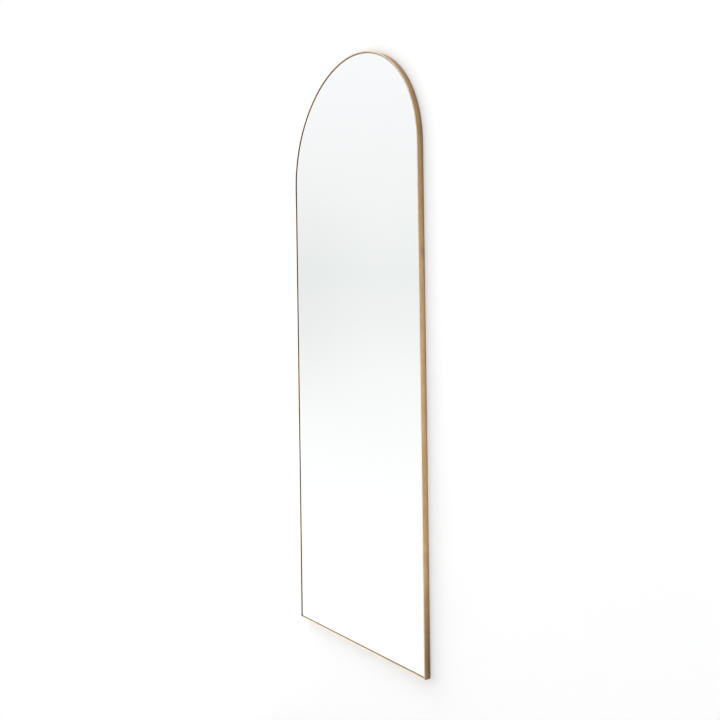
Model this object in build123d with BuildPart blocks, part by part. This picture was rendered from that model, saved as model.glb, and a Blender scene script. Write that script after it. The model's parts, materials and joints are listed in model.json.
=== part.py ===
from build123d import *
from math import asin, atan, cos, degrees, hypot, radians, sin, sqrt
import os

os.makedirs("parts", exist_ok=True)

# Arched wall mirror in a mitred flat-bar frame, hung by two D-rings.
# X runs to the right as seen from the front, Y from the room to the wall, Z up.
# The origin is on the wall, midway between the two hooks, where the rings bear on them.

# Overall size
mirror_width = 762.0
mirror_height = 2032.0
hang_height = 1575.0
wall_gap = 2.45

# Flat bar of the frame
bar_thickness = 4.8
bar_depth = 19.05
front_edge_radius = 0.6
back_edge_radius = 0.4

# Layers behind the front edge
glass_recess = 2.5
glass_thickness = 4.0
glass_gap = 0.8
glass_arris = 0.3
film_thickness = 0.2
film_margin = 2.0
tape_thickness = 1.0
tape_width = 25.0
tape_count = 4
tape_margin = 30.0
board_thickness = 6.0
board_gap = 1.5

# Shims round the glass
shim_length = 40.0
shim_margin = 0.5
edge_shims_per_stile = 2

# Pan-head screws
screw_radius = 1.75
screw_head_radius = 3.8
screw_head_height = 1.9
screw_head_rim = 0.7
screw_bite = 4.5
screw_point = 1.5
screw_tip_radius = 0.6
machine_screw_point = 0.5
pilot_clearance = 0.05
screw_clearance = 0.35

# Clips that hold the board
clip_width = 25.0
clip_reach = 16.0
clip_rise = 5.0
clip_thickness = 1.5
clip_bend_radius = 0.8
clip_corner_radius = 3.0
clip_screw_inset = 9.0
clips_per_stile = 3
clips_on_arch = 3
clips_on_sill = 2

# Gusset plates across the lower corners
gusset_leg = 55.0
gusset_toe = 8.0
gusset_relief = 5.0
gusset_thickness = 2.0
gusset_screw_inset = 18.0

# Hanger rail
rail_height = 40.0
rail_thickness = 2.5
rail_ear_depth = 5.0
rail_bend_radius = 1.0

# D-rings and their folded straps
hook_spacing = 406.4
ring_wire_radius = 1.6
ring_half_width = 10.5
ring_reach = 16.0
ring_corner_radius = 2.5
ring_butt_gap = 0.4
ring_play = 0.1
ring_rest_gap = 0.3
strap_width = 14.0
strap_length = 32.0
strap_leaf = 1.2
strap_fold_gap = 0.1
strap_neck_radius = 1.5
strap_corner_radius = 4.0
strap_overhang = 5.0
strap_screw_drop = 9.5
strap_screw_pitch = 14.5
strap_screw_clearance = 0.25

# Rubber wall bumpers
bumper_radius = 11.0
bumper_top_radius = 9.5
bumper_edge_radius = 1.2
bumper_recess_radius = 5.0
bumper_web = 4.0
bumper_inset = 45.0
bumper_shoulder_angle = 45.0

# Depths, from the wall at zero to the front
frame_back = -wall_gap
frame_front = frame_back - bar_depth
pane_front = frame_front + glass_recess
pane_back = pane_front + glass_thickness
film_back = pane_back + film_thickness
board_front = film_back + tape_thickness
board_back = board_front + board_thickness
rail_back = board_back + rail_thickness
strap_depth = 2 * strap_leaf + strap_fold_gap
strap_back = rail_back + strap_depth

# Heights and half widths
bottom_z = -hang_height
sill_top = bottom_z + bar_thickness
spring_z = bottom_z + mirror_height - mirror_width / 2
inner_half = mirror_width / 2 - bar_thickness
pane_half = inner_half - glass_gap
pane_foot = sill_top + glass_gap

# Hinge of the rings
knuckle_y = rail_back + strap_depth / 2
knuckle_z = -(ring_reach - ring_wire_radius)
knuckle_bore = ring_wire_radius + ring_play
knuckle_radius = knuckle_bore + strap_leaf
rail_top = knuckle_z - strap_overhang
rail_bottom = rail_top - rail_height
ring_lean = asin((knuckle_y - board_back - ring_wire_radius - ring_rest_gap) / ring_reach)

# Folded down, the ring stops just clear of the strap's edges, where its bow crosses them
bow_start = ring_reach - ring_half_width
bow_crossing = bow_start + sqrt(ring_half_width**2 - (strap_width / 2) ** 2)
fold_clearance = asin((strap_depth / 2 + ring_rest_gap) / hypot(bow_crossing, ring_wire_radius))
ring_fold = fold_clearance + atan(ring_wire_radius / bow_crossing)
ring_swing = 180 + degrees(ring_lean - ring_fold)


def at_depth(y):
    """Upright plane at depth y, seen from the front: its x is X and its y is Z."""
    return Plane.XZ.offset(-y)


def facing_wall(x, y, z):
    """Plane at a point on a back surface, its normal towards the wall."""
    return Plane(origin=(x, y, z), x_dir=(1, 0, 0), z_dir=(0, 1, 0))


def arched_face(inset):
    """Outline of the mirror, drawn in from the frame's outer edge by inset."""
    half = mirror_width / 2 - inset
    foot = bottom_z + inset
    with BuildSketch() as outline:
        with BuildLine():
            Polyline((-half, spring_z), (-half, foot), (half, foot), (half, spring_z))
            ThreePointArc((half, spring_z), (0, spring_z + half), (-half, spring_z))
        make_face()
    return outline.sketch


def sill_face():
    """Front outline of the bottom bar, mitred at both ends."""
    half = mirror_width / 2
    with BuildSketch() as outline:
        with BuildLine():
            Polyline(
                (-half, bottom_z),
                (half, bottom_z),
                (half - bar_thickness, sill_top),
                (-half + bar_thickness, sill_top),
                close=True,
            )
        make_face()
    return outline.sketch


def pan_screw(length, point, tip_radius):
    """Pan-head screw standing on the XY plane, its shank pointing down."""
    with BuildPart() as screw:
        with BuildSketch(Plane.XZ):
            with BuildLine():
                Polyline(
                    (0, screw_head_height),
                    (0, -length),
                    (tip_radius, -length),
                    (screw_radius, point - length),
                    (screw_radius, 0),
                    (screw_head_radius, 0),
                    (screw_head_radius, screw_head_rim),
                )
                TangentArc(
                    (0, screw_head_height),
                    (screw_head_radius, screw_head_rim),
                    tangent=(1, 0),
                )
            make_face()
        revolve(axis=Axis.Z)
    return screw.part


def clip_seat(x, z, inward):
    """Plane of a clip on the frame's inner wall: its x points inwards, its y to the wall."""
    turn = radians(inward)
    return Plane(
        origin=(x, board_back, z),
        x_dir=(cos(turn), 0, sin(turn)),
        z_dir=(-sin(turn), 0, cos(turn)),
    )


# Places of the clips
clip_seats = {}
stile_pitch = (rail_bottom - sill_top) / clips_per_stile
for place in range(clips_per_stile):
    z = sill_top + stile_pitch * (place + 0.5)
    clip_seats[f"board_clip_left_{place + 1}"] = clip_seat(-inner_half, z, 0)
    clip_seats[f"board_clip_right_{place + 1}"] = clip_seat(inner_half, z, 180)
arch_seat_radius = sqrt(inner_half**2 - (clip_width / 2) ** 2)
for place in range(clips_on_arch):
    around = 180 * (place + 0.5) / clips_on_arch
    x = arch_seat_radius * cos(radians(around))
    z = spring_z + arch_seat_radius * sin(radians(around))
    clip_seats[f"board_clip_arch_{place + 1}"] = clip_seat(x, z, around + 180)
sill_pitch = 2 * inner_half / clips_on_sill
for place in range(clips_on_sill):
    x = sill_pitch * (place + 0.5) - inner_half
    clip_seats[f"board_clip_sill_{place + 1}"] = clip_seat(x, sill_top, 90)

# Points on the back of the board that take a screw, as (x, z)
clip_points = []
for seat in clip_seats.values():
    spot = seat.from_local_coords(Vector(clip_screw_inset, 0, 0))
    clip_points.append((spot.X, spot.Z))
gusset_points = []
for side in (-1, 1):
    gusset_points.append((side * (inner_half - gusset_screw_inset), sill_top + gusset_screw_inset))
shoulder_x = (inner_half - bumper_inset) * cos(radians(bumper_shoulder_angle))
shoulder_z = spring_z + (inner_half - bumper_inset) * sin(radians(bumper_shoulder_angle))
bumper_places = {
    "wall_bumper_lower_left": (bumper_inset - inner_half, sill_top + bumper_inset),
    "wall_bumper_lower_right": (inner_half - bumper_inset, sill_top + bumper_inset),
    "wall_bumper_upper_left": (-shoulder_x, shoulder_z),
    "wall_bumper_upper_right": (shoulder_x, shoulder_z),
}
board_points = clip_points + gusset_points + list(bumper_places.values())

# Frame: one bar bent over the arch and mitred at its lower ends
with BuildPart() as frame_hoop:
    with BuildSketch(at_depth(frame_back)):
        add(arched_face(0))
        add(arched_face(bar_thickness), mode=Mode.SUBTRACT)
        add(sill_face(), mode=Mode.SUBTRACT)
    extrude(amount=bar_depth)
    front_edges = frame_hoop.faces().sort_by(Axis.Y)[0].edges()
    fillet(front_edges.filter_by(lambda edge: edge.length > 2 * bar_thickness), front_edge_radius)
    back_edges = frame_hoop.faces().sort_by(Axis.Y)[-1].edges()
    fillet(back_edges.filter_by(lambda edge: edge.length > 2 * bar_thickness), back_edge_radius)
frame_hoop.part.label = "frame_hoop"
export_step(frame_hoop.part, "parts/frame_hoop.step")

with BuildPart() as frame_sill:
    with BuildSketch(at_depth(frame_back)):
        add(sill_face())
    extrude(amount=bar_depth)
    long_edges = frame_sill.edges().filter_by(Axis.X)
    fillet(long_edges.group_by(Axis.Y)[0], front_edge_radius)
    long_edges = frame_sill.edges().filter_by(Axis.X)
    fillet(long_edges.group_by(Axis.Y)[-1], back_edge_radius)
frame_sill.part.label = "frame_sill"
export_step(frame_sill.part, "parts/frame_sill.step")

# Silvered glass with its arrises taken off
with BuildPart() as mirror_pane:
    with BuildSketch(at_depth(pane_back)):
        add(arched_face(bar_thickness + glass_gap))
    extrude(amount=glass_thickness)
    chamfer(mirror_pane.faces().filter_by(Axis.Y).edges(), glass_arris)
mirror_pane.part.label = "mirror_pane"
export_step(mirror_pane.part, "parts/mirror_pane.step")

with BuildPart() as safety_film:
    with BuildSketch(at_depth(film_back)):
        add(arched_face(bar_thickness + glass_gap + film_margin))
    extrude(amount=film_thickness)
safety_film.part.label = "safety_film"
export_step(safety_film.part, "parts/safety_film.step")

# Upright foam tapes between the film and the board, each as tall as the arch lets it be
tape_pitch = 2 * pane_half / tape_count
for place in range(tape_count):
    tape_x = tape_pitch * (place + 0.5) - pane_half
    outer_x = abs(tape_x) + tape_width / 2
    tape_top = spring_z + sqrt((pane_half - tape_margin) ** 2 - outer_x**2)
    tape_foot = pane_foot + tape_margin
    with BuildPart() as bonding_tape:
        with BuildSketch(at_depth(board_front)):
            with Locations((tape_x, tape_foot)):
                Rectangle(tape_width, tape_top - tape_foot, align=(Align.CENTER, Align.MIN))
        extrude(amount=tape_thickness)
    bonding_tape.part.label = f"bonding_tape_{place + 1}"
    export_step(bonding_tape.part, f"parts/bonding_tape_{place + 1}.step")

# Shims that the glass stands on, and shims that centre it between the stiles
shim_depth = glass_thickness - 2 * shim_margin
for side, name in ((-1, "left"), (1, "right")):
    with BuildPart() as setting_shim:
        with BuildSketch(at_depth(pane_back - shim_margin)):
            with Locations((side * pane_half / 2, sill_top)):
                Rectangle(shim_length, glass_gap, align=(Align.CENTER, Align.MIN))
        extrude(amount=shim_depth)
    setting_shim.part.label = f"setting_shim_{name}"
    export_step(setting_shim.part, f"parts/setting_shim_{name}.step")

    shim_pitch = (spring_z - sill_top) / edge_shims_per_stile
    for place in range(edge_shims_per_stile):
        with BuildPart() as edge_shim:
            with BuildSketch(at_depth(pane_back - shim_margin)):
                shim_z = sill_top + shim_pitch * (place + 0.5)
                with Locations((side * (pane_half + glass_gap / 2), shim_z)):
                    Rectangle(glass_gap, shim_length)
            extrude(amount=shim_depth)
        edge_shim.part.label = f"edge_shim_{name}_{place + 1}"
        export_step(edge_shim.part, f"parts/edge_shim_{name}_{place + 1}.step")

# Backboard with its blind pilot holes
with BuildPart() as backboard:
    with BuildSketch(at_depth(board_back)):
        add(arched_face(bar_thickness + board_gap))
    extrude(amount=board_thickness)
    with BuildSketch(at_depth(board_back)):
        with Locations(*board_points):
            Circle(screw_radius + pilot_clearance)
    extrude(amount=screw_bite + pilot_clearance, mode=Mode.SUBTRACT)
backboard.part.label = "backboard"
export_step(backboard.part, "parts/backboard.step")

# Bent clips: one leg welded to the bar, the other over the board
for name, seat in clip_seats.items():
    with BuildPart() as board_clip:
        with BuildSketch(seat) as clip_section:
            with BuildLine():
                Polyline(
                    (0, 0),
                    (clip_reach, 0),
                    (clip_reach, clip_thickness),
                    (clip_thickness, clip_thickness),
                    (clip_thickness, clip_rise),
                    (0, clip_rise),
                    close=True,
                )
            make_face()
            heel = clip_section.vertices().sort_by_distance((0, 0, 0))[0]
            fillet(heel, clip_bend_radius + clip_thickness)
            crook = clip_section.vertices().sort_by_distance((clip_thickness, clip_thickness, 0))[0]
            fillet(crook, clip_bend_radius)
        extrude(amount=clip_width / 2, both=True)
        corners = board_clip.edges().filter_by(Axis.Y)
        corners = corners.sort_by(lambda edge: seat.to_local_coords(edge.center()).X)[-2:]
        fillet(corners, clip_corner_radius)
        spot = seat.from_local_coords(Vector(clip_screw_inset, 0, 0))
        with Locations(facing_wall(spot.X, spot.Y, spot.Z)):
            Hole(screw_radius + screw_clearance)
    board_clip.part.label = name
    export_step(board_clip.part, f"parts/{name}.step")

# Gusset plates with clipped toes, one in each lower corner
for side, name in ((-1, "left"), (1, "right")):
    corner_x = side * inner_half
    with BuildPart() as corner_gusset:
        with BuildSketch(at_depth(board_back)):
            with BuildLine():
                Polyline(
                    (corner_x - side * gusset_relief, sill_top),
                    (corner_x - side * gusset_leg, sill_top),
                    (corner_x - side * gusset_leg, sill_top + gusset_toe),
                    (corner_x - side * gusset_toe, sill_top + gusset_leg),
                    (corner_x, sill_top + gusset_leg),
                    (corner_x, sill_top + gusset_relief),
                    close=True,
                )
            make_face()
        extrude(amount=-gusset_thickness)
        screw_x = side * (inner_half - gusset_screw_inset)
        with Locations(facing_wall(screw_x, board_back, sill_top + gusset_screw_inset)):
            Hole(screw_radius + screw_clearance)
    corner_gusset.part.label = f"corner_gusset_{name}"
    export_step(corner_gusset.part, f"parts/corner_gusset_{name}.step")

# Screws through the clips and the gussets
clip_screw = pan_screw(clip_thickness + screw_bite, screw_point, screw_tip_radius)
gusset_screw = pan_screw(gusset_thickness + screw_bite, screw_point, screw_tip_radius)
with BuildPart() as board_screws:
    with Locations(*[facing_wall(x, board_back + clip_thickness, z) for x, z in clip_points]):
        add(clip_screw)
    with Locations(*[facing_wall(x, board_back + gusset_thickness, z) for x, z in gusset_points]):
        add(gusset_screw)
board_screws.part.label = "board_screws"
export_step(board_screws.part, "parts/board_screws.step")

# Steel strip across the stiles, its ends folded back into ears that are welded to them
hook_places = {"left": -hook_spacing / 2, "right": hook_spacing / 2}
strap_screw_heights = [knuckle_z - strap_screw_drop, knuckle_z - strap_screw_drop - strap_screw_pitch]
with BuildPart() as hanger_rail:
    with BuildSketch(Plane.XY.offset(rail_bottom)) as rail_section:
        ear_back = rail_back + rail_ear_depth - rail_thickness
        ear_front = inner_half - rail_thickness
        with BuildLine():
            Polyline(
                (-inner_half, ear_back),
                (-inner_half, board_back),
                (inner_half, board_back),
                (inner_half, ear_back),
                (ear_front, ear_back),
                (ear_front, rail_back),
                (-ear_front, rail_back),
                (-ear_front, ear_back),
                close=True,
            )
        make_face()
        inner_bends = rail_section.vertices().sort_by_distance((0, rail_back, 0))[:2]
        fillet(inner_bends, rail_bend_radius)
        fillet(rail_section.vertices().group_by(Axis.Y)[0], rail_bend_radius + rail_thickness)
    extrude(amount=rail_height)
    for hook_x in hook_places.values():
        with Locations(*[facing_wall(hook_x, rail_back, z) for z in strap_screw_heights]):
            Hole(screw_radius + pilot_clearance)
hanger_rail.part.label = "hanger_rail"
export_step(hanger_rail.part, "parts/hanger_rail.step")

for name, hook_x in hook_places.items():
    # Strap: one strip folded round the ring, its two leaves lying together on the rail
    with BuildPart() as ring_strap:
        with BuildSketch(Plane.YZ.offset(hook_x)) as strap_section:
            with Locations((knuckle_y, knuckle_z)):
                Circle(knuckle_radius)
                Rectangle(strap_depth, strap_length, align=(Align.CENTER, Align.MAX))
            fillet(strap_section.vertices().sort_by(Axis.Y)[-2:], strap_neck_radius)
            with Locations((knuckle_y, knuckle_z)):
                Circle(knuckle_bore, mode=Mode.SUBTRACT)
                Rectangle(
                    strap_fold_gap,
                    strap_length,
                    align=(Align.CENTER, Align.MAX),
                    mode=Mode.SUBTRACT,
                )
        extrude(amount=strap_width / 2, both=True)
        foot_corners = ring_strap.edges().filter_by(Axis.Y).group_by(Axis.Z)[0]
        fillet(foot_corners, strap_corner_radius)
        with Locations(*[facing_wall(hook_x, strap_back, z) for z in strap_screw_heights]):
            Hole(screw_radius + strap_screw_clearance)
    ring_strap.part.label = f"ring_strap_{name}"
    export_step(ring_strap.part, f"parts/ring_strap_{name}.step")

    # Ring: round wire bent into a D, its butt joint hidden in the strap's fold
    ring_plane = Plane(
        origin=(hook_x, knuckle_y, knuckle_z),
        x_dir=(1, 0, 0),
        z_dir=(0, -cos(ring_lean), -sin(ring_lean)),
    )
    leg = ring_half_width - ring_corner_radius
    with BuildPart() as d_ring:
        with BuildLine(ring_plane) as ring_bend:
            Line((-ring_butt_gap / 2, 0), (-leg, 0))
            JernArc((-leg, 0), (-1, 0), ring_corner_radius, -90)
            Line((-ring_half_width, ring_corner_radius), (-ring_half_width, bow_start))
            JernArc((-ring_half_width, bow_start), (0, 1), ring_half_width, -180)
            Line((ring_half_width, bow_start), (ring_half_width, ring_corner_radius))
            JernArc((ring_half_width, ring_corner_radius), (0, -1), ring_corner_radius, -90)
            Line((leg, 0), (ring_butt_gap / 2, 0))
        with BuildSketch(Plane(origin=ring_bend.line @ 0, z_dir=ring_bend.line % 0)):
            Circle(ring_wire_radius)
        sweep()
    d_ring.part.label = f"d_ring_{name}"
    export_step(d_ring.part, f"parts/d_ring_{name}.step")

# Screws that hold the straps, ending flush with the front of the rail
machine_screw_tip = screw_radius - machine_screw_point
strap_screw = pan_screw(strap_depth + rail_thickness, machine_screw_point, machine_screw_tip)
with BuildPart() as strap_screws:
    for hook_x in hook_places.values():
        with Locations(*[facing_wall(hook_x, strap_back, z) for z in strap_screw_heights]):
            add(strap_screw)
strap_screws.part.label = "strap_screws"
export_step(strap_screws.part, "parts/strap_screws.step")

# Rubber bumpers, each with a recess for its screw
bumper_height = -board_back
for name, (x, z) in bumper_places.items():
    base = facing_wall(x, board_back, z)
    with BuildPart(base) as wall_bumper:
        Cone(
            bumper_radius,
            bumper_top_radius,
            bumper_height,
            align=(Align.CENTER, Align.CENTER, Align.MIN),
        )
        fillet(wall_bumper.edges().sort_by(Axis.Y)[-1], bumper_edge_radius)
        with Locations((0, 0, bumper_height)):
            CounterBoreHole(
                screw_radius + screw_clearance,
                bumper_recess_radius,
                bumper_height - bumper_web,
            )
    wall_bumper.part.label = name
    export_step(wall_bumper.part, f"parts/{name}.step")

bumper_screw = pan_screw(bumper_web + screw_bite, screw_point, screw_tip_radius)
with BuildPart() as bumper_screws:
    with Locations(*[facing_wall(x, board_back + bumper_web, z) for x, z in bumper_places.values()]):
        add(bumper_screw)
bumper_screws.part.label = "bumper_screws"
export_step(bumper_screws.part, "parts/bumper_screws.step")

print("ring hinge at", round(knuckle_y, 4), round(knuckle_z, 4), "swing", round(ring_swing, 2))
print("wall bumper height", round(bumper_height, 3), "springing line", round(spring_z, 3))
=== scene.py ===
import json
import math
import random

import bmesh
import bpy
from mathutils import Matrix, Vector


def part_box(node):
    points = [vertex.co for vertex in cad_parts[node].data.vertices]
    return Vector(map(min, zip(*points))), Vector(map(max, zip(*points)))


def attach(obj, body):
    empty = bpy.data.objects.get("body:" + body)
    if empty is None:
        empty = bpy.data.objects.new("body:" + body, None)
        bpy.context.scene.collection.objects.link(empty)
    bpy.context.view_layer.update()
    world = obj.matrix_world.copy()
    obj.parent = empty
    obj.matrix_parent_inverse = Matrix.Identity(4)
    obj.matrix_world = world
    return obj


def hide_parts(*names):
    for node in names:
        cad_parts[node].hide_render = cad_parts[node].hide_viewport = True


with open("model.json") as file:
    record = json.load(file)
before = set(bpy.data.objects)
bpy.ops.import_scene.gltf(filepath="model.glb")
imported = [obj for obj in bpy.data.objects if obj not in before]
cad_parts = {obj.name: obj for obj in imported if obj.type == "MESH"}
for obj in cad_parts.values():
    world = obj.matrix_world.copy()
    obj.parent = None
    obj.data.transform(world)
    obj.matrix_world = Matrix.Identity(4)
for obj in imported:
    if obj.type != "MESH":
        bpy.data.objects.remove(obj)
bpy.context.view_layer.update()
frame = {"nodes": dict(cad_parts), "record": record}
random.seed(7)

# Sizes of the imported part, in metres
BAR_THICKNESS = 0.0048
FRONT_EDGE = 0.0006
BACK_EDGE = 0.0004
GLASS_GAP = 0.0008
GLASS_ARRIS = 0.0003
hoop_lo, hoop_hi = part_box("frame_hoop")
pane_lo, pane_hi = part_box("mirror_pane")
BOARD_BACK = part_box("backboard")[1].y
HALF = hoop_hi.x
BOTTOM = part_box("frame_sill")[0].z
SILL_TOP = BOTTOM + BAR_THICKNESS
SPRING = 0.076
FRONT = hoop_lo.y
BACK = hoop_hi.y
CLIP_HALF = 0.0125
# Heights nearer to each other than this count as one
CLOSE = 0.001
SLOTS = {row["node"]: row["material_slot"] for row in frame["record"]["subparts"]}


# Camera, at the photograph's viewing angle
CAMERA_PLACE = (2.32027, -1.55102, -0.59623)
CAMERA_YAW = 0.9781896
CAMERA_PITCH = 0.0014661
CAMERA_ROLL = -0.0139222
CAMERA_LENS = 40.232


def add_camera():
    ahead = Vector(
        (
            -math.sin(CAMERA_YAW) * math.cos(CAMERA_PITCH),
            math.cos(CAMERA_YAW) * math.cos(CAMERA_PITCH),
            math.sin(CAMERA_PITCH),
        )
    )
    level = Vector((math.cos(CAMERA_YAW), math.sin(CAMERA_YAW), 0))
    upright = level.cross(ahead)
    right = math.cos(CAMERA_ROLL) * level + math.sin(CAMERA_ROLL) * upright
    up = math.cos(CAMERA_ROLL) * upright - math.sin(CAMERA_ROLL) * level
    data = bpy.data.cameras.new("camera")
    data.lens = CAMERA_LENS
    data.sensor_width = 36
    data.clip_start = 0.05
    data.clip_end = 50
    camera = bpy.data.objects.new("camera", data)
    bpy.context.scene.collection.objects.link(camera)
    turn = Matrix((right, up, -ahead)).transposed()
    camera.matrix_world = Matrix.Translation(CAMERA_PLACE) @ turn.to_4x4()
    bpy.context.scene.camera = camera


def plug(tree, socket, value):
    """Links the socket to another one, or sets it to a number or a colour."""
    if isinstance(value, bpy.types.NodeSocket):
        tree.links.new(value, socket)
    else:
        if socket.type == "RGBA" and len(value) == 3:
            value = (*value, 1)
        socket.default_value = value


def add_node(tree, kind, inputs=(), **settings):
    made = tree.nodes.new("ShaderNode" + kind)
    for key, value in settings.items():
        setattr(made, key, value)
    for key, value in dict(inputs).items():
        plug(tree, made.inputs[key], value)
    return made


def empty_tree(owner):
    owner.use_nodes = True
    owner.node_tree.nodes.clear()
    return owner.node_tree


class Shader:
    """A material with one Principled shader and short calls to build its nodes."""

    def __init__(self, name, **fixed):
        self.material = bpy.data.materials.new(name)
        self.tree = empty_tree(self.material)
        self.bsdf = self.node("BsdfPrincipled")
        self.node("OutputMaterial", {0: self.bsdf.outputs[0]})
        self.set(**fixed)

    def set(self, **values):
        for name, value in values.items():
            key = name.replace("_", " ").title().replace("Ior", "IOR")
            plug(self.tree, self.bsdf.inputs[key], value)

    def node(self, kind, inputs=(), **settings):
        return add_node(self.tree, kind, inputs, **settings)

    def position(self):
        return self.node("TexCoord").outputs["Object"]

    def attribute(self, name):
        return self.node("Attribute", attribute_name=name).outputs["Vector"]

    def split(self, vector):
        return self.node("SeparateXYZ", {0: vector}).outputs

    def stretch(self, vector, scale, shift=(0, 0, 0)):
        inputs = {"Vector": vector, "Location": shift, "Scale": scale}
        return self.node("Mapping", inputs).outputs[0]

    def noise(self, vector, scale, detail=3.0, roughness=0.5, distortion=0.0):
        inputs = {
            "Vector": vector,
            "Scale": scale,
            "Detail": detail,
            "Roughness": roughness,
            "Distortion": distortion,
        }
        return self.node("TexNoise", inputs).outputs[0]

    def cells(self, vector, scale):
        return self.node("TexVoronoi", {"Vector": vector, "Scale": scale}).outputs["Distance"]

    def wave(self, vector, scale, distortion, direction):
        inputs = {"Vector": vector, "Scale": scale, "Distortion": distortion}
        return self.node("TexWave", inputs, bands_direction=direction).outputs[1]

    def math(self, operation, a, b=None, clamp=False):
        inputs = {0: a} if b is None else {0: a, 1: b}
        return self.node("Math", inputs, operation=operation, use_clamp=clamp).outputs[0]

    def range(self, value, low, high, to_low=0.0, to_high=1.0):
        inputs = {0: value, 1: low, 2: high, 3: to_low, 4: to_high}
        return self.node("MapRange", inputs).outputs[0]

    def mix(self, factor, a, b):
        return self.node("Mix", {0: factor, 6: a, 7: b}, data_type="RGBA").outputs[2]

    def bump(self, height, distance, strength=1.0, normal=None):
        inputs = {"Strength": strength, "Distance": distance, "Height": height}
        if normal is not None:
            inputs["Normal"] = normal
        return self.node("Bump", inputs).outputs[0]


def brass():
    """Aged brass, brushed along the bar, with painted shade in its recess, by height and along its
    rear edge, and rubbed pale edges that also carry a painted highlight.
    """
    s = Shader("aged_brass", metallic=1.0)
    grain = s.attribute("grain")
    tone = s.split(s.attribute("tone"))
    wear_and_highlight, recess, seam = tone[0], tone[1], tone[2]
    # broad tarnish, then smaller clouds, then the brushing itself
    broad = s.noise(s.stretch(grain, (7, 60, 1)), 1.0, 4.0, 0.6)
    cloud = s.noise(s.stretch(grain, (38, 150, 1), (3, 0, 0)), 1.0, 5.0, 0.62, 0.4)
    brush = s.noise(s.stretch(grain, (14, 4200, 1)), 1.0, 3.0, 0.7)
    fine = s.noise(s.stretch(grain, (60, 9000, 1), (0, 7, 0)), 1.0, 2.0, 0.5)
    colour = s.mix(s.range(broad, 0.34, 0.66), (0.51, 0.318, 0.149), (0.685, 0.470, 0.250))
    colour = s.mix(s.range(cloud, 0.52, 0.72, 0.0, 0.55), colour, (0.34, 0.20, 0.09))
    colour = s.mix(s.range(brush, 0.3, 0.7, 0.0, 0.28), colour, (0.80, 0.59, 0.35))
    # painted shade: darker over the higher part and towards the feet, and along the rear edge by
    # the wall
    y, z = s.split(s.position())[1:3]
    drift = s.range(broad, 0.3, 0.7, -0.07, 0.07)
    upper_shade = s.range(s.math("ADD", z, s.math("MULTIPLY", drift, 2.2)), -0.36, 0.12, 0.0, 0.60)
    foot = s.range(s.math("ADD", s.math("SUBTRACT", z, BOTTOM), drift), 0.03, 0.42, 0.80, 0.0)
    foot = s.math("MULTIPLY", foot, s.math("LESS_THAN", s.split(grain)[2], 1.5))
    rear = s.range(y, FRONT + 0.007, BACK, 0.0, 0.30)
    rear = s.math("MULTIPLY", rear, s.math("ADD", s.math("ADD", upper_shade, foot), 0.35))
    colour = s.mix(s.math("ADD", upper_shade, rear, True), colour, (0.29, 0.175, 0.085))
    colour = s.mix(s.math("ADD", foot, rear, True), colour, (0.23, 0.14, 0.068))
    blotch = s.noise(s.stretch(grain, (13, 30, 1), (5, 2, 0)), 1.0, 3.0, 0.5)
    blotch = s.range(blotch, 0.48, 0.66, 0.0, 0.5)
    blotch = s.math("MULTIPLY", blotch, s.range(z, -0.6, -0.2, 0.15, 1.0))
    colour = s.mix(blotch, colour, (0.30, 0.18, 0.085))
    # rubbed pale edges: partly the metal rubbed bright, partly a painted highlight on the lip,
    # dimmed by height with painted shade
    polish = s.noise(s.stretch(grain, (4, 20, 1), (11, 0, 0)), 1.0, 3.0, 0.5)
    rubbed_and_highlit = s.math("MULTIPLY", wear_and_highlight, s.range(polish, 0.35, 0.65, 0.52, 0.80))
    painted_dimming = s.math("ADD", s.math("MULTIPLY", upper_shade, 0.6), s.math("MULTIPLY", foot, 0.6))
    painted_dimming = s.math("ADD", painted_dimming, s.range(z, -0.9, -0.3, 0.0, 0.26))
    rubbed_and_highlit = s.math("MULTIPLY", rubbed_and_highlit, s.math("SUBTRACT", 1.0, painted_dimming))
    colour = s.mix(rubbed_and_highlit, colour, (0.95, 0.82, 0.65))
    # painted shade in the recess by the glass and on the back inner edge
    colour = s.mix(s.math("MULTIPLY", recess, 0.95), colour, (0.055, 0.038, 0.024))
    colour = s.mix(s.math("MULTIPLY", seam, 0.35), colour, (0.30, 0.20, 0.11))
    rough = s.range(cloud, 0.3, 0.7, 0.30, 0.44)
    rough = s.math("ADD", rough, s.range(fine, 0.3, 0.7, -0.04, 0.04))
    rough = s.math("SUBTRACT", rough, s.math("MULTIPLY", wear_and_highlight, 0.06))
    height = s.math("ADD", s.math("MULTIPLY", brush, 0.7), s.math("MULTIPLY", fine, 0.3))
    relief = s.bump(height, 0.00006)
    pits = s.range(s.cells(s.stretch(grain, (420, 420, 1)), 1.0), 0.0, 0.16, 0.0, 1.0)
    s.set(base_color=colour, roughness=rough, normal=s.bump(pits, 0.00003, 0.5, relief))
    return s.material


# How near to the face or the back of the glass a point counts as on it
SKIN = 0.00005


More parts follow.
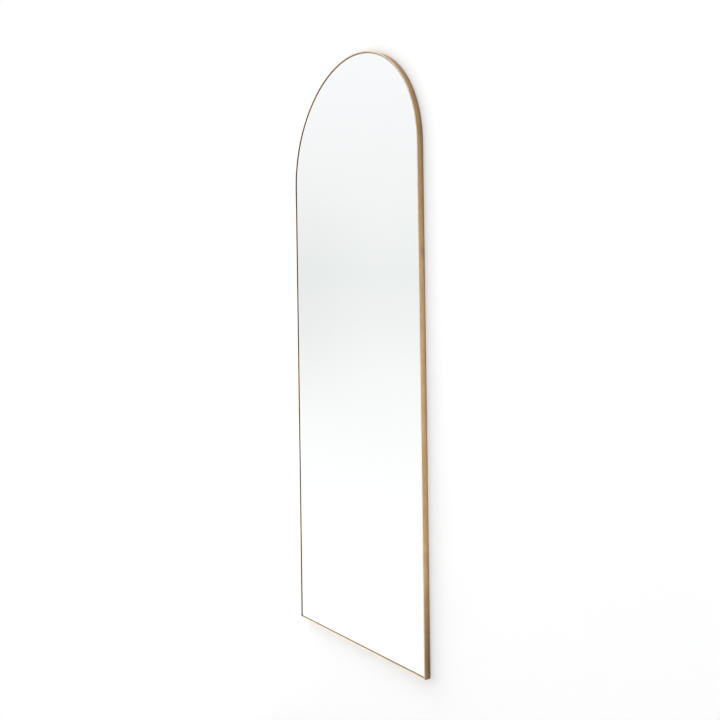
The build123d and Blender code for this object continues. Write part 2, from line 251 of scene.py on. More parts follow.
def silvered_glass():
    """Silvered glass: a clear bright face, a dark band of painted shade by the edge, and ground
    green sides.
    """
    s = Shader("silvered_glass", ior=1.5)
    place = s.position()
    x, y, z = s.split(place)[:3]
    above = s.math("MAXIMUM", s.math("SUBTRACT", z, SPRING), 0.0)
    squares = s.math("ADD", s.math("MULTIPLY", x, x), s.math("MULTIPLY", above, above))
    reach = s.math("SQRT", squares)
    edge = s.math("SUBTRACT", pane_hi.x, reach)
    foot = s.math("SUBTRACT", z, pane_lo.z)
    edge = s.math("MINIMUM", edge, foot)
    face = s.math("LESS_THAN", y, pane_lo.y + SKIN)
    drift = s.noise(place, 1.7, 3.0, 0.5)
    silver = s.mix(s.range(drift, 0.35, 0.65), (0.940, 0.957, 0.950), (0.950, 0.964, 0.958))
    # painted shade: a ragged dark band along the glass's edge beside the frame
    ragged_edge = s.math("ADD", edge, s.math("MULTIPLY", s.noise(place, 260, 4.0, 0.6), 0.0012))
    edge_shade = s.range(ragged_edge, 0.0008, 0.0034, 1.0, 0.0)
    silver = s.mix(edge_shade, silver, (0.17, 0.14, 0.105))
    ground = s.noise(place, 900, 4.0, 0.6)
    side = s.mix(s.range(ground, 0.35, 0.65), (0.10, 0.24, 0.19), (0.17, 0.34, 0.28))
    coat = s.noise(place, 45, 5.0, 0.6)
    paint = s.mix(s.range(coat, 0.3, 0.7), (0.30, 0.31, 0.32), (0.36, 0.37, 0.38))
    behind = s.math("GREATER_THAN", y, pane_hi.y - SKIN)
    body = s.mix(behind, side, paint)
    smudge = s.range(s.noise(place, 9, 5.0, 0.65, 0.8), 0.55, 0.8, 0.0, 0.012)
    rough_face = s.math("ADD", smudge, 0.004)
    rough_side = s.range(ground, 0.3, 0.7, 0.38, 0.55)
    rough = s.node("Mix", {0: face, 2: rough_side, 3: rough_face}, data_type="FLOAT")
    relief = s.bump(s.math("MULTIPLY", ground, s.math("SUBTRACT", 1.0, face)), 0.00005)
    s.set(
        base_color=s.mix(face, body, silver),
        metallic=face,
        roughness=rough.outputs[0],
        normal=relief,
    )
    return s.material


def plated(name, low, high, rough_low, rough_high):
    """Zinc or nickel plate: crystalline mottle, soft scratches and a faint tint."""
    s = Shader(name, metallic=1.0)
    place = s.position()
    spangle = s.noise(place, 1100, 3.0, 0.7, 1.5)
    drift = s.noise(place, 60, 4.0, 0.6)
    scratch = s.noise(s.stretch(place, (2600, 2600, 160)), 1.0, 3.0, 0.6)
    colour = s.mix(s.range(spangle, 0.3, 0.7), low, high)
    colour = s.mix(s.range(drift, 0.45, 0.75, 0.0, 0.45), colour, (0.62, 0.60, 0.54))
    rough = s.range(drift, 0.3, 0.7, rough_low, rough_high)
    rough = s.math("ADD", rough, s.range(scratch, 0.4, 0.7, 0, 0.06))
    s.set(base_color=colour, roughness=rough, normal=s.bump(scratch, 0.00003))
    return s.material


def painted_board():
    """Hardboard under thin matt black paint: fibres, roller texture and dust."""
    s = Shader("painted_board", specular_ior_level=0.35)
    place = s.position()
    fibre = s.noise(s.stretch(place, (900, 900, 260)), 1.0, 4.0, 0.65, 0.6)
    roller = s.noise(s.stretch(place, (70, 70, 8)), 1.0, 4.0, 0.55)
    broad = s.noise(place, 3.2, 4.0, 0.6)
    speck = s.range(s.cells(place, 240), 0.04, 0.11, 1.0, 0.0)
    colour = s.mix(s.range(broad, 0.3, 0.7), (0.040, 0.038, 0.036), (0.062, 0.058, 0.054))
    colour = s.mix(s.range(fibre, 0.45, 0.75, 0.0, 0.5), colour, (0.095, 0.085, 0.074))
    colour = s.mix(s.range(roller, 0.5, 0.7, 0.0, 0.3), colour, (0.075, 0.073, 0.070))
    colour = s.mix(s.math("MULTIPLY", speck, 0.22), colour, (0.30, 0.27, 0.23))
    rough = s.range(broad, 0.3, 0.7, 0.56, 0.68)
    rough = s.math("ADD", rough, s.range(fibre, 0.3, 0.7, -0.05, 0.08))
    height = s.math("ADD", fibre, s.math("MULTIPLY", roller, 0.6))
    s.set(base_color=colour, roughness=rough, normal=s.bump(height, 0.00016))
    return s.material


def powder_coat():
    """Black powder coat with orange peel and a few dust nibs."""
    s = Shader("powder_coat", specular_ior_level=0.5, coat_weight=0.15, coat_roughness=0.35)
    place = s.position()
    peel = s.noise(place, 620, 2.0, 0.45)
    broad = s.noise(place, 24, 3.0, 0.5)
    nib = s.range(s.cells(place, 300), 0.02, 0.07, 1.0, 0.0)
    colour = s.mix(s.range(broad, 0.3, 0.7), (0.020, 0.020, 0.021), (0.034, 0.033, 0.033))
    colour = s.mix(s.math("MULTIPLY", nib, 0.3), colour, (0.16, 0.15, 0.14))
    height = s.math("ADD", peel, s.math("MULTIPLY", nib, 0.5))
    rough = s.range(peel, 0.3, 0.7, 0.36, 0.5)
    s.set(base_color=colour, roughness=rough, normal=s.bump(height, 0.0001))
    return s.material


def rubber():
    """Moulded rubber with a fine grain and a pale bloom."""
    s = Shader("moulded_rubber", specular_ior_level=0.4)
    place = s.position()
    grain = s.noise(place, 1500, 3.0, 0.6)
    bloom = s.noise(place, 130, 4.0, 0.6)
    bloom = s.range(bloom, 0.4, 0.75, 0.0, 0.8)
    colour = s.mix(bloom, (0.026, 0.025, 0.025), (0.075, 0.073, 0.070))
    rough = s.range(grain, 0.3, 0.7, 0.62, 0.82)
    s.set(base_color=colour, roughness=rough, normal=s.bump(grain, 0.00005))
    return s.material


def foam():
    """Closed-cell foam tape."""
    s = Shader("foam_tape", specular_ior_level=0.25)
    place = s.position()
    cell = s.cells(place, 2600)
    broad = s.noise(place, 70, 3.0, 0.5)
    colour = s.mix(s.range(cell, 0.1, 0.7), (0.58, 0.57, 0.54), (0.74, 0.73, 0.70))
    colour = s.mix(s.range(broad, 0.4, 0.8, 0.0, 0.4), colour, (0.50, 0.48, 0.43))
    rough = s.range(cell, 0.0, 0.8, 0.7, 0.92)
    s.set(base_color=colour, roughness=rough, normal=s.bump(cell, 0.00012))
    return s.material


def film():
    """Woven safety film: two sets of flat ribbons under a satin skin."""
    s = Shader("safety_film", specular_ior_level=0.4)
    place = s.position()
    weave = s.math("MULTIPLY", s.wave(place, 95.0, 0.4, "X"), s.wave(place, 95.0, 0.4, "Z"))
    broad = s.noise(place, 14, 4.0, 0.6)
    colour = s.mix(s.range(broad, 0.3, 0.7), (0.46, 0.47, 0.47), (0.54, 0.55, 0.55))
    colour = s.mix(s.math("MULTIPLY", weave, 0.4), colour, (0.66, 0.67, 0.67))
    rough = s.range(weave, 0.0, 1.0, 0.42, 0.58)
    s.set(base_color=colour, roughness=rough, normal=s.bump(weave, 0.00004))
    return s.material


def shim_plastic():
    """Moulded black plastic."""
    s = Shader("shim_plastic", specular_ior_level=0.45)
    place = s.position()
    grain = s.noise(place, 1100, 3.0, 0.6)
    broad = s.noise(place, 90, 3.0)
    colour = s.mix(s.range(broad, 0.3, 0.7), (0.022, 0.022, 0.023), (0.04, 0.04, 0.041))
    rough = s.range(grain, 0.3, 0.7, 0.45, 0.6)
    s.set(base_color=colour, roughness=rough, normal=s.bump(grain, 0.00004))
    return s.material


def new_mesh(name, points, faces, material, normals=None, smooth=False):
    mesh = bpy.data.meshes.new(name)
    mesh.from_pydata([tuple(p) for p in points], [], faces)
    mesh.materials.append(material)
    for polygon in mesh.polygons:
        polygon.use_smooth = smooth or normals is not None
    if normals is not None:
        mesh.normals_split_custom_set(normals)
    obj = bpy.data.objects.new(name, mesh)
    bpy.context.scene.collection.objects.link(obj)
    return obj


EDGE_STEPS = 5
# How far in front of the glass the painted shade on the bar's inner wall is at its darkest
DARK_LINE = 0.0015


def half_worn(t):
    """Wear along a rear edge, most in the middle of its arc."""
    return 0.5 * math.sin(math.pi * t)


def bar_section():
    """Section of the bar, going round it: (inset, depth, the normal's two parts, edge rubbing with
    a painted highlight, painted shade in the recess).
    """
    front_inset, back_inset = BAR_THICKNESS - FRONT_EDGE, BAR_THICKNESS - BACK_EDGE
    front_y, back_y = FRONT + FRONT_EDGE, BACK - BACK_EDGE
    # middle and radius of each eased edge, where its arc starts, and its rubbing with painted
    # highlight and its painted recess shade along it
    edges = (
        (FRONT_EDGE, front_y, FRONT_EDGE, 180, lambda t: 0.15 + 0.85 * t, lambda t: 0.0),
        (front_inset, front_y, FRONT_EDGE, 270, lambda t: (1 - t) ** 2, lambda t: 0.9 * t),
        (back_inset, back_y, BACK_EDGE, 0, half_worn, lambda t: 0.7 * (1 - t)),
        (BACK_EDGE, back_y, BACK_EDGE, 90, half_worn, lambda t: 0.0),
    )
    section = []
    for u, y, radius, start, wear_and_highlight, recess in edges:
        for step in range(EDGE_STEPS + 1):
            t = step / EDGE_STEPS
            angle = math.radians(start + 90 * step / EDGE_STEPS)
            nu, ny = math.cos(angle), math.sin(angle)
            section.append((u + radius * nu, y + radius * ny, nu, ny, wear_and_highlight(t), recess(t)))
        if start == 270:
            # the inner wall, with painted shade that is darkest at the glass
            section.append((BAR_THICKNESS, pane_lo.y - DARK_LINE, 1, 0, 0.0, 0.96))
            section.append((BAR_THICKNESS, pane_lo.y, 1, 0, 0.0, 1.0))
            section.append((BAR_THICKNESS, BOARD_BACK, 1, 0, 0.0, 0.8))
    return section


def swept_bar(name, stations, seed, material):
    """Sweeps the bar's section along its stations.

    Each station is (place, outward, length, seam): place gives (x, z) at an inset, outward is the
    way out of the mirror, length is measured along the bar, and seam is 1 at a mitre.
    """
    section = bar_section()
    count = len(section)
    around = [0.0]
    for a, b in zip(section, section[1:] + section[:1]):
        around.append(around[-1] + math.hypot(b[0] - a[0], b[1] - a[1]))
    points, directions = [], []
    for place, outward, _, _ in stations:
        for u, y, nu, ny, _, _ in section:
            x, z = place(u)
            points.append(Vector((x, y, z)))
            directions.append(Vector((-nu * outward[0], ny, -nu * outward[1])))
    faces, normals, grain, tone = [], [], [], []

    def corner(station, k, lap, normal=None):
        at = station * count + k % count
        normals.append(normal or directions[at])
        length, seam = stations[station][2:]
        grain.append((length, around[k] if not lap else around[count], seed))
        wear_and_highlight, recess = section[k % count][4], section[k % count][5]
        tone.append((wear_and_highlight, recess, seam))
        return at

    for i in range(len(stations) - 1):
        for k in range(count):
            lap = k == count - 1
            face = [
                corner(i, k, False),
                corner(i, k + 1, lap),
                corner(i + 1, k + 1, lap),
                corner(i + 1, k, False),
            ]
            faces.append(face)
    for station in (0, len(stations) - 1):
        ring = list(range(count))
        if station == 0:
            ring.reverse()
        a, b, c = (points[station * count + ring[k]] for k in (0, count // 3, 2 * count // 3))
        flat = (b - a).cross(c - a).normalized()
        faces.append([corner(station, k, False, flat) for k in ring])
    obj = new_mesh(name, points, faces, material, normals)
    for label, values in (("grain", grain), ("tone", tone)):
        layer = obj.data.attributes.new(label, "FLOAT_VECTOR", "CORNER")
        layer.data.foreach_set("vector", [c for v in values for c in v])
    return obj


# Distance from a mitre, and how much of its tone is left there
SEAM_STEPS = ((0.0, 1.0), (0.0012, 1.0), (0.008, 0.0))
STILE_STEPS = 12
ARCH_STEPS = 120
SILL_STEPS = 8


def add_hoop(material):
    """Both stiles and the arch, mitred at the two feet."""
    stations = []

    def stile(side, z, seam, base):
        def place(u):
            foot = BOTTOM + u
            height = max(z, foot) if z > SILL_TOP else foot + z - BOTTOM
            return side * (HALF - u), height

        stations.append((place, (side, 0), base, seam))

    for rise, seam in SEAM_STEPS:
        stile(-1, BOTTOM + rise, seam, rise)
    for k in range(1, STILE_STEPS):
        z = BOTTOM + (SPRING - BOTTOM) * k / STILE_STEPS
        stile(-1, z, 0.0, z - BOTTOM)
    length = SPRING - BOTTOM
    for k in range(ARCH_STEPS + 1):
        angle = math.pi * (1 - k / ARCH_STEPS)
        ray = (math.cos(angle), math.sin(angle))

        def place(u, ray=ray):
            return (HALF - u) * ray[0], min(SPRING + (HALF - u) * ray[1], hoop_hi.z)

        stations.append((place, ray, length + HALF * math.pi * k / ARCH_STEPS, 0.0))
    length += HALF * math.pi
    for k in range(STILE_STEPS - 1, 0, -1):
        z = BOTTOM + (SPRING - BOTTOM) * k / STILE_STEPS
        stile(1, z, 0.0, length + SPRING - z)
    for rise, seam in reversed(SEAM_STEPS):
        stile(1, BOTTOM + rise, seam, length + SPRING - BOTTOM - rise)
    hoop = swept_bar("frame_hoop_bar", stations, 1.0, material)
    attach(hoop, "root")
    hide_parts("frame_hoop")


def add_sill(material):
    """The bottom bar, mitred at both ends."""
    stations = []

    def cut(x, seam, inward):
        def place(u):
            return x - inward * u, BOTTOM + u

        stations.append((place, (0, -1), x + HALF, seam))

    for rise, seam in SEAM_STEPS:
        cut(HALF - rise, seam, 1)
    for k in range(1, SILL_STEPS):
        cut(HALF * (1 - 2 * k / SILL_STEPS), 0.0, 0)
    for rise, seam in reversed(SEAM_STEPS):
        cut(rise - HALF, seam, -1)
    sill = swept_bar("frame_sill_bar", stations, 2.0, material)
    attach(sill, "root")
    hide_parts("frame_sill")


def outline(inset, steps=ARCH_STEPS):
    """Points of the mirror's outline drawn in by inset, from the left foot up and over."""
    half = HALF - inset
    points = [(-half, BOTTOM + inset)]
    for k in range(steps + 1):
        angle = math.pi * (1 - k / steps)
        points.append((half * math.cos(angle), SPRING + half * math.sin(angle)))
    points.append((half, BOTTOM + inset))
    return points


def add_pane(material):
    """The glass, with its arrises taken off."""
    rings = []
    face_inset = BAR_THICKNESS + GLASS_GAP
    for inset, y in (
        (face_inset + GLASS_ARRIS, pane_lo.y),
        (face_inset, pane_lo.y + GLASS_ARRIS),
        (face_inset, pane_hi.y - GLASS_ARRIS),
        (face_inset + GLASS_ARRIS, pane_hi.y),
    ):
        rings.append([(x, y, z) for x, z in outline(inset)])
    count = len(rings[0])
    points = [p for ring in rings for p in ring]
    faces = [list(range(count - 1, -1, -1)), list(range(3 * count, 4 * count))]
    for ring in range(3):
        for k in range(count):
            a, b = ring * count + k, ring * count + (k + 1) % count
            faces.append([a, b, b + count, a + count])
    pane = new_mesh("mirror_glass", points, faces, material)
    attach(pane, "root")
    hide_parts("mirror_pane")


def screw_places(node):
    """Middle of each screw of a node as (x, z), with the depths of its tip and of its head."""
    work = bmesh.new()
    work.from_mesh(frame["nodes"][node].data)
    bmesh.ops.remove_doubles(work, verts=work.verts, dist=1e-6)
    places, seen = [], set()
    for first in work.verts:
        if first in seen:
            continue
        group, waiting = [], [first]
        seen.add(first)
        while waiting:
            vert = waiting.pop()
            group.append(vert.co.copy())
            for edge in vert.link_edges:
                other = edge.other_vert(vert)
                if other not in seen:
                    seen.add(other)
                    waiting.append(other)
        low = [min(p[k] for p in group) for k in range(3)]
        high = [max(p[k] for p in group) for k in range(3)]
        places.append(((low[0] + high[0]) / 2, (low[2] + high[2]) / 2, low[1], high[1]))
    work.free()
    return places


SHANK_RADIUS = 0.00175
HEAD_RADIUS = 0.0038
HEAD_HEIGHT = 0.0019
HEAD_RIM = 0.0007
CROSS_REACH = 0.0021
CROSS_HALF = 0.00048
CROSS_DEPTH = 0.00135
# Radii at which the head's dome is divided, the step of its rounded parts, and its smallest step
DOME_RADII = (0.0025, 0.0031, 0.00355, 0.00368)
HEAD_STEP = 0.0001
FINE_STEP = 0.00008
CROSS_BEVEL = 0.00006
CROSS_FLOOR = 0.0002
SMOOTH_BELOW = 35


def dome(r):
    """Height of the head above its seat at the radius r."""
    drop = HEAD_HEIGHT - HEAD_RIM
    ball = (HEAD_RADIUS**2 + drop**2) / (2 * drop)
    return HEAD_HEIGHT - ball + math.sqrt(ball**2 - r**2)


def cross_reach(angle):
    """Distance from the middle to the edge of the cross recess in one direction."""
    folded = abs((angle + math.pi / 4) % (math.pi / 2) - math.pi / 4)
    if math.tan(folded) < CROSS_HALF / CROSS_REACH:
        return CROSS_REACH / math.cos(folded)
    return CROSS_HALF / math.sin(folded)


# Length of the point and radius of the tip, of the screws in board and of those in the rail
BOARD_POINT, BOARD_TIP = 0.0015, 0.0006
RAIL_POINT, RAIL_TIP = 0.0005, 0.00125


def screw_rings(length, point, tip):
    """One screw as rings of (radius as a function of the angle, height), from recess to tip."""
    def cross(scale):
        return lambda angle: scale * cross_reach(angle)

    def plain(r):
        return lambda angle: r

    rings = [
        (cross(0.32), lambda r: HEAD_HEIGHT - CROSS_DEPTH),
        (cross(0.80), lambda r: HEAD_HEIGHT - 0.55 * CROSS_DEPTH),
        (cross(0.97), lambda r: dome(r) - FINE_STEP),
        (lambda angle: cross_reach(angle) + CROSS_BEVEL, dome),
    ]
    for r in DOME_RADII:
        rings.append((plain(r), dome))
    rings.append((plain(HEAD_RADIUS), lambda r: HEAD_RIM - FINE_STEP))
    rings.append((plain(HEAD_RADIUS), lambda r: HEAD_STEP))
    rings.append((plain(HEAD_RADIUS - HEAD_STEP), lambda r: 0.0))
    rings.append((plain(SHANK_RADIUS), lambda r: 0.0))
    rings.append((plain(SHANK_RADIUS), lambda r: point - length))
    rings.append((plain(tip), lambda r: -length))
    return rings


def add_screws(node, name, point, tip, material):
    """Pan-head screws with a cross recess, one in each place of the node, turned at random."""
    corner = math.atan(CROSS_HALF / CROSS_REACH)
    eighth = [0.0, corner / 2, corner, (corner + math.pi / 4) / 2]
    angles = []
    for quarter in range(4):
        base = quarter * math.pi / 2
        angles += [base + a for a in eighth] + [base + math.pi / 4]
        angles += [base + math.pi / 2 - a for a in reversed(eighth[1:])]
    count = len(angles)
    points, faces = [], []
    for x, z, low, high in screw_places(node):
        turn = random.uniform(0, math.pi / 2)
        rings = screw_rings(high - low - HEAD_HEIGHT, point, tip)
        seat = high - HEAD_HEIGHT
        start = len(points)
        for reach, height in rings:
            for angle in angles:
                r = reach(angle)
                dx, dz = r * math.cos(angle + turn), r * math.sin(angle + turn)
                points.append((x + dx, seat + height(r), z + dz))
        points.append((x, high - CROSS_DEPTH - CROSS_FLOOR, z))
        points.append((x, low, z))
        top, tail = len(points) - 2, len(points) - 1
        last = start + (len(rings) - 1) * count
        for k in range(count):
            after = (k + 1) % count
            faces.append((start + after, start + k, top))
            faces.append((last + k, last + after, tail))
            for ring in range(len(rings) - 1):
                a, b = start + ring * count + k, start + ring * count + after
                faces.append((a, b, b + count, a + count))
    screws = new_mesh(name, points, faces, material, smooth=True)
    screws.data.set_sharp_from_angle(angle=math.radians(SMOOTH_BELOW))
    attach(screws, "root")
    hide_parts(node)


# Beads: how far behind the board they start and stop, their radii, where they lie along a
# gusset's sides, their division and the pitch of their ripples
WELD_SPAN = (0.0006, 0.0044)
WELD_RADIUS = 0.0011
GUSSET_WELD_RADIUS = 0.0013
GUSSET_WELDS = ((0.012, 0.024), (0.036, 0.049))
WELD_SIDES = 10
WELD_STEP = 0.0003
RIPPLE_PITCH = 0.0011


def weld_lines():
    """Both ends of every weld between the bar and what is fixed to it, with the bead's radius."""
    inner = HALF - BAR_THICKNESS
    lines = []
    near, far = (BOARD_BACK + depth for depth in WELD_SPAN)
    for node, slot in sorted(SLOTS.items()):
        if slot not in ("clip", "rail"):
            continue
        low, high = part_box(node)
        middle = (low + high) / 2
        if slot == "rail":
            for x in (-inner, inner):
                for z in (low.z, high.z):
                    lines.append(((x, near, z), (x, far, z), WELD_RADIUS))
            continue
        if middle.z > SPRING:
            angle = math.atan2(middle.z - SPRING, middle.x)
            radius = math.sqrt(inner**2 - CLIP_HALF**2)
            foot = Vector((radius * math.cos(angle), SPRING + radius * math.sin(angle)))
            along = Vector((-math.sin(angle), math.cos(angle)))
        elif low.z < SILL_TOP + CLOSE:
            foot, along = Vector((middle.x, SILL_TOP)), Vector((1, 0))
        else:
            foot, along = Vector((math.copysign(inner, middle.x), middle.z)), Vector((0, 1))
        for side in (-1, 1):
            at = foot + side * CLIP_HALF * along
            lines.append(((at.x, near, at.y), (at.x, far, at.y), WELD_RADIUS))
    for side in (-1, 1):
        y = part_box("corner_gusset_right" if side > 0 else "corner_gusset_left")[1].y
        x, z = side * inner, SILL_TOP
        for start, stop in GUSSET_WELDS:
            upright = (x, y, z + start), (x, y, z + stop)
            level = (x - side * start, y, z), (x - side * stop, y, z)
            lines.append((*upright, GUSSET_WELD_RADIUS))
            lines.append((*level, GUSSET_WELD_RADIUS))
    return lines


def add_welds(material):
    """Rippled beads in the corners where clips, gussets and rail meet the bar."""
    points, faces = [], []
    for start, stop, radius in weld_lines():
        a, b = Vector(start), Vector(stop)
        along = (b - a).normalized()
        across = along.cross(Vector((0.3, 0.5, 0.8))).normalized()
        other = along.cross(across)
        length = (b - a).length
        steps = max(8, round(length / WELD_STEP))
        base = len(points)
        for step in range(steps + 1):
            t = step / steps
            end = min(t, 1 - t) * length / radius
            taper = math.sqrt(min(1.0, end)) if end > 0 else 0.15
            ripple = 1 - 0.16 * abs(math.cos(math.pi * t * length / RIPPLE_PITCH))
            r = radius * ripple * taper * random.uniform(0.96, 1.04)
            for k in range(WELD_SIDES):
                angle = 2 * math.pi * k / WELD_SIDES
                out = math.cos(angle) * across + math.sin(angle) * other
                points.append(a + t * length * along + r * out)
        for step in range(steps):
            ring = base + step * WELD_SIDES
            for k in range(WELD_SIDES):
                p, q = ring + k, ring + (k + 1) % WELD_SIDES
                faces.append((p, q, q + WELD_SIDES, p + WELD_SIDES))
        faces.append([base + k for k in reversed(range(WELD_SIDES))])
        faces.append([base + steps * WELD_SIDES + k for k in range(WELD_SIDES)])
    welds = new_mesh("weld_beads", points, faces, material, smooth=True)
    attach(welds, "root")


def weld_metal():
    """Weld metal: dull, spattered, with straw and blue heat colours."""
    s = Shader("weld_metal", metallic=1.0)
    place = s.position()
    heat = s.noise(place, 420, 3.0, 0.5)
    colour = s.mix(s.range(heat, 0.3, 0.5), (0.24, 0.20, 0.15), (0.33, 0.32, 0.31))
    colour = s.mix(s.range(heat, 0.55, 0.7, 0.0, 0.6), colour, (0.13, 0.15, 0.20))
    spatter = s.noise(place, 1800, 3.0, 0.6)
    rough = s.range(spatter, 0.3, 0.7, 0.34, 0.55)
    s.set(base_color=colour, roughness=rough, normal=s.bump(spatter, 0.00008))
    return s.material


SHOWN_RAYS = ("Is Camera Ray", "Is Glossy Ray", "Is Transmission Ray")
GRIT_SCALE = 35
GRIT = 0.005
WALL_PAINT = 0.80
WALL_GLOW = 0.285
FLOOR_PAINT = 0.38
FLOOR_GLOW = 0.85


def stage_shader(name, unlit_rays, diffuse, glow):
    """White backdrop paint that keeps shadows: part of it glows, for the rays that are named."""
    material = bpy.data.materials.new(name)
    tree = empty_tree(material)
    rays = add_node(tree, "LightPath").outputs
    total = rays[unlit_rays[0]]
    for ray in unlit_rays[1:]:
        inputs = {0: total, 1: rays[ray]}
        total = add_node(tree, "Math", inputs, operation="MAXIMUM").outputs[0]
    strength = add_node(tree, "Math", {0: total, 1: glow}, operation="MULTIPLY").outputs[0]
    light = add_node(tree, "Emission", {"Strength": strength}).outputs[0]
    grit = add_node(tree, "TexNoise", {"Scale": GRIT_SCALE}).outputs[0]
    ends = {3: diffuse * (1 - GRIT), 4: diffuse * (1 + GRIT)}
    tint = add_node(tree, "MapRange", {0: grit, **ends}).outputs[0]
    paint = add_node(tree, "BsdfDiffuse", {0: tint}).outputs[0]
    both = add_node(tree, "AddShader", {0: paint, 1: light}).outputs[0]
    # from behind the wall is clear, so the back can be looked at
    behind = add_node(tree, "NewGeometry").outputs["Backfacing"]
    clear = add_node(tree, "BsdfTransparent").outputs[0]
    shown = add_node(tree, "MixShader", {0: behind, 1: both, 2: clear}).outputs[0]
    add_node(tree, "OutputMaterial", {0: shown})
    return material


# The wall's place and reach, and the floor's, which starts further to the right
WALL_Y = 0.0003
WALL_LEFT, WALL_RIGHT, WALL_TOP = -1.6, 2.4, 1.4
FLOOR_Z = -2.2
FLOOR_LEFT, FLOOR_NEAR = -0.9, -2.6
# The wall's edge behind the frame, and the division of the arch there
RIM_INSET = 0.012
RIM_STEPS = 48


def add_stage():
    """Wall behind the mirror, open behind it so that its back is lit, and a floor."""
    wall_paint = stage_shader("wall_paint", SHOWN_RAYS, WALL_PAINT, WALL_GLOW)
    floor_paint = stage_shader("floor_paint", SHOWN_RAYS, FLOOR_PAINT, FLOOR_GLOW)
    # the rim of wall behind the frame gets no glow for the camera, so the gap behind the bar shows
    # a painted strip of shade
    rim_shade = stage_shader("wall_rim_shade", ("Is Glossy Ray",), WALL_PAINT, WALL_GLOW)
    outer = outline(0.0, RIM_STEPS)
    count = len(outer)
    far = []
    for x, z in outer:
        if z <= BOTTOM + CLOSE:
            far.append((WALL_LEFT if x < 0 else WALL_RIGHT, FLOOR_Z))
        else:
            angle = math.atan2(max(z - SPRING, 0.0), x)
            width = WALL_RIGHT if x > 0 else -WALL_LEFT
            ray = Vector((math.cos(angle), math.sin(angle)))
            reach = min(width / max(abs(ray.x), 1e-6), (WALL_TOP - SPRING) / max(ray.y, 1e-6))
            far.append((ray.x * reach, SPRING + ray.y * reach))
    rings = [outline(RIM_INSET, RIM_STEPS), outer, far]
    points = [(x, WALL_Y, z) for ring in rings for x, z in ring]
    faces = []
    for ring in range(2):
        for k in range(count):
            a, b = ring * count + k, ring * count + (k + 1) % count
            faces.append([a, b, b + count, a + count])
    wall = new_mesh("wall", points, faces, wall_paint)
    wall.data.materials.append(rim_shade)
    for k in range(count):
        wall.data.polygons[k].material_index = 1
    if wall.data.polygons[count].normal.y > 0:
        wall.data.flip_normals()
    corners = [
        (FLOOR_LEFT, WALL_Y, FLOOR_Z),
        (FLOOR_LEFT, FLOOR_NEAR, FLOOR_Z),
        (WALL_RIGHT, FLOOR_NEAR, FLOOR_Z),
        (WALL_RIGHT, WALL_Y, FLOOR_Z),
    ]
    floor = new_mesh("floor", corners, [[0, 1, 2, 3]], floor_paint)


# Studio levels by height: a stop is (height of the direction, half way up at 0.5, level)
LEFT_LEVELS = (
    (0.0, (1.12, 1.11, 1.10)),
    (0.33, (1.06, 1.06, 1.06)),
    (0.41, (1.02, 1.02, 1.02)),
    (0.48, (0.985, 0.99, 0.99)),
    (0.55, (0.92, 0.93, 0.93)),
    (0.61, (0.89, 0.905, 0.905)),
    (0.70, (0.945, 0.95, 0.955)),
    (0.84, (0.985, 0.985, 1.0)),
    (1.0, (1.0, 1.0, 1.0)),
)
RIGHT_LEVELS = (
    (0.05, 0.08),
    (0.25, 0.16),
    (0.38, 0.38),
    (0.5, 0.46),
    (0.75, 0.40),
    (1.0, 0.42),
)
WINDOW_LEVEL = 1.9
GRAZING_LEVEL = 0.9
TOP_LEVEL = 0.35
REAR_LEVEL = 0.85
VEIL_LEVEL = 0.045


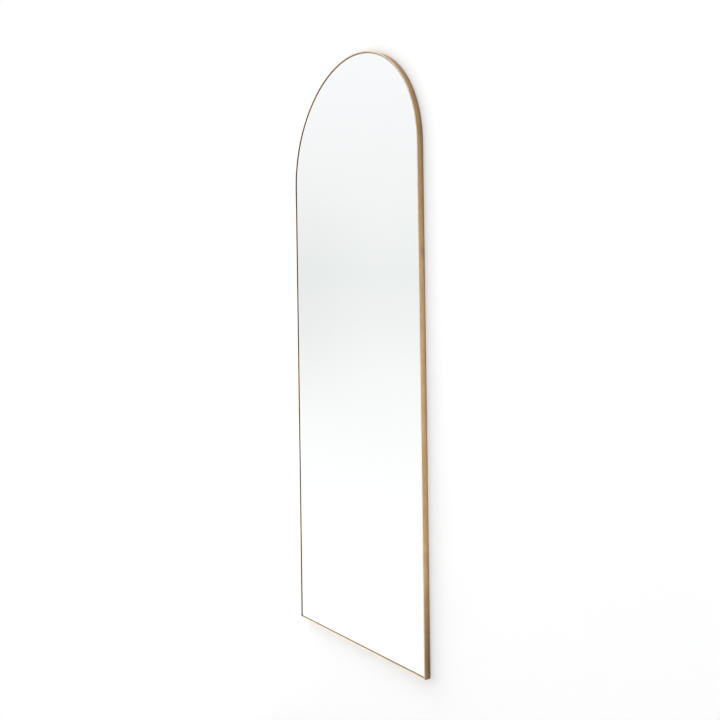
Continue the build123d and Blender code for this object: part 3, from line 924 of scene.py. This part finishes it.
def add_world():
    """White for the camera; for everything else a studio with a broad soft window at the left."""
    world = bpy.data.worlds.new("studio")
    bpy.context.scene.world = world
    tree = empty_tree(world)

    def node(kind, inputs=(), **settings):
        return add_node(tree, kind, inputs, **settings).outputs[0]

    def ease(value, low, high, to_low=0.0, to_high=1.0):
        inputs = {0: value, 1: low, 2: high, 3: to_low, 4: to_high}
        return node("MapRange", inputs, interpolation_type="SMOOTHSTEP")

    def times(a, b):
        return node("Math", {0: a, 1: b}, operation="MULTIPLY")

    def plus(a, b):
        return node("Math", {0: a, 1: b}, operation="ADD")

    def ramp(value, stops):
        made = add_node(tree, "ValToRGB", {0: value})
        elements = made.color_ramp.elements
        elements.remove(elements[-1])
        for k, (at, colour) in enumerate(stops):
            element = elements[0] if k == 0 else elements.new(at)
            element.position = at
            element.color = (*colour, 1)
        return made.outputs[0]

    direction = add_node(tree, "TexCoord").outputs["Generated"]
    x, y, z = add_node(tree, "SeparateXYZ", {0: direction}).outputs[:3]
    rise = node("MapRange", {0: z, 1: -0.5, 2: 0.5})
    level = ramp(rise, LEFT_LEVELS)
    right = ramp(rise, [(at, (grey, grey, grey)) for at, grey in RIGHT_LEVELS])
    side = node("Mix", {0: ease(x, 0.0, 0.75), 2: 1.0, 3: right})
    # the window, brighter for grazing light, and the light from above
    band = plus(ease(y, -0.475, -0.375), ease(y, -0.40, -0.22, 0.0, GRAZING_LEVEL))
    window = times(band, ease(x, -0.55, -0.15, 1.0, 0.0))
    window = times(window, ease(z, -0.5, 0.3, 0.35, 1.0))
    above = times(ease(y, -0.6, -0.45), ease(z, 0.35, 0.85, 0.0, TOP_LEVEL))
    lit = plus(side, times(plus(window, above), WINDOW_LEVEL))
    # a faint veil low in the window's side of the room, which the glass shows
    belt = times(ease(rise, 0.40, 0.52), ease(rise, 0.62, 0.76, 1.0, 0.0))
    veil = times(belt, ease(y, -0.58, -0.50, 0.0, VEIL_LEVEL))
    lit = times(lit, node("Math", {0: 1.0, 1: veil}, operation="SUBTRACT"))
    lit = node("Mix", {0: ease(y, 0.0, 0.2), 2: lit, 3: REAR_LEVEL})
    studio = node("Background", {0: level, 1: lit})
    plain = node("Background", {0: (1, 1, 1, 1), 1: 1.0})
    camera_ray = add_node(tree, "LightPath").outputs["Is Camera Ray"]
    shown = node("MixShader", {0: camera_ray, 1: studio, 2: plain})
    add_node(tree, "OutputWorld", {0: shown})


NODE_LOOKS = {
    "clip": lambda: plated("zinc_clip", (0.50, 0.50, 0.49), (0.61, 0.61, 0.60), 0.34, 0.46),
    "gusset": lambda: plated("zinc_gusset", (0.48, 0.48, 0.48), (0.60, 0.60, 0.59), 0.36, 0.50),
    "strap": lambda: plated("nickel_strap", (0.58, 0.57, 0.54), (0.72, 0.71, 0.67), 0.22, 0.32),
    "ring": lambda: plated("nickel_ring", (0.62, 0.61, 0.58), (0.76, 0.74, 0.70), 0.14, 0.24),
    "board": painted_board,
    "rail": powder_coat,
    "bumper": rubber,
    "tape": foam,
    "film": film,
    "shim": shim_plastic,
}


def dress_nodes():
    """Gives each node that has a look of its own that look's material."""
    looks = {slot: make() for slot, make in NODE_LOOKS.items()}
    for name, node in frame["nodes"].items():
        look = looks.get(SLOTS.get(name))
        if look is None:
            continue
        node.data.materials.clear()
        node.data.materials.append(look)


add_camera()
bar_look = brass()
add_hoop(bar_look)
add_sill(bar_look)
add_pane(silvered_glass())
screw_look = plated("zinc_screw", (0.55, 0.54, 0.50), (0.72, 0.70, 0.64), 0.26, 0.36)
add_screws("board_screws", "board_cross_screws", BOARD_POINT, BOARD_TIP, screw_look)
add_screws("bumper_screws", "bumper_cross_screws", BOARD_POINT, BOARD_TIP, screw_look)
add_screws("strap_screws", "strap_cross_screws", RAIL_POINT, RAIL_TIP, screw_look)
add_welds(weld_metal())
dress_nodes()
add_stage()
add_world()
bpy.context.scene.view_settings.view_transform = "Standard"
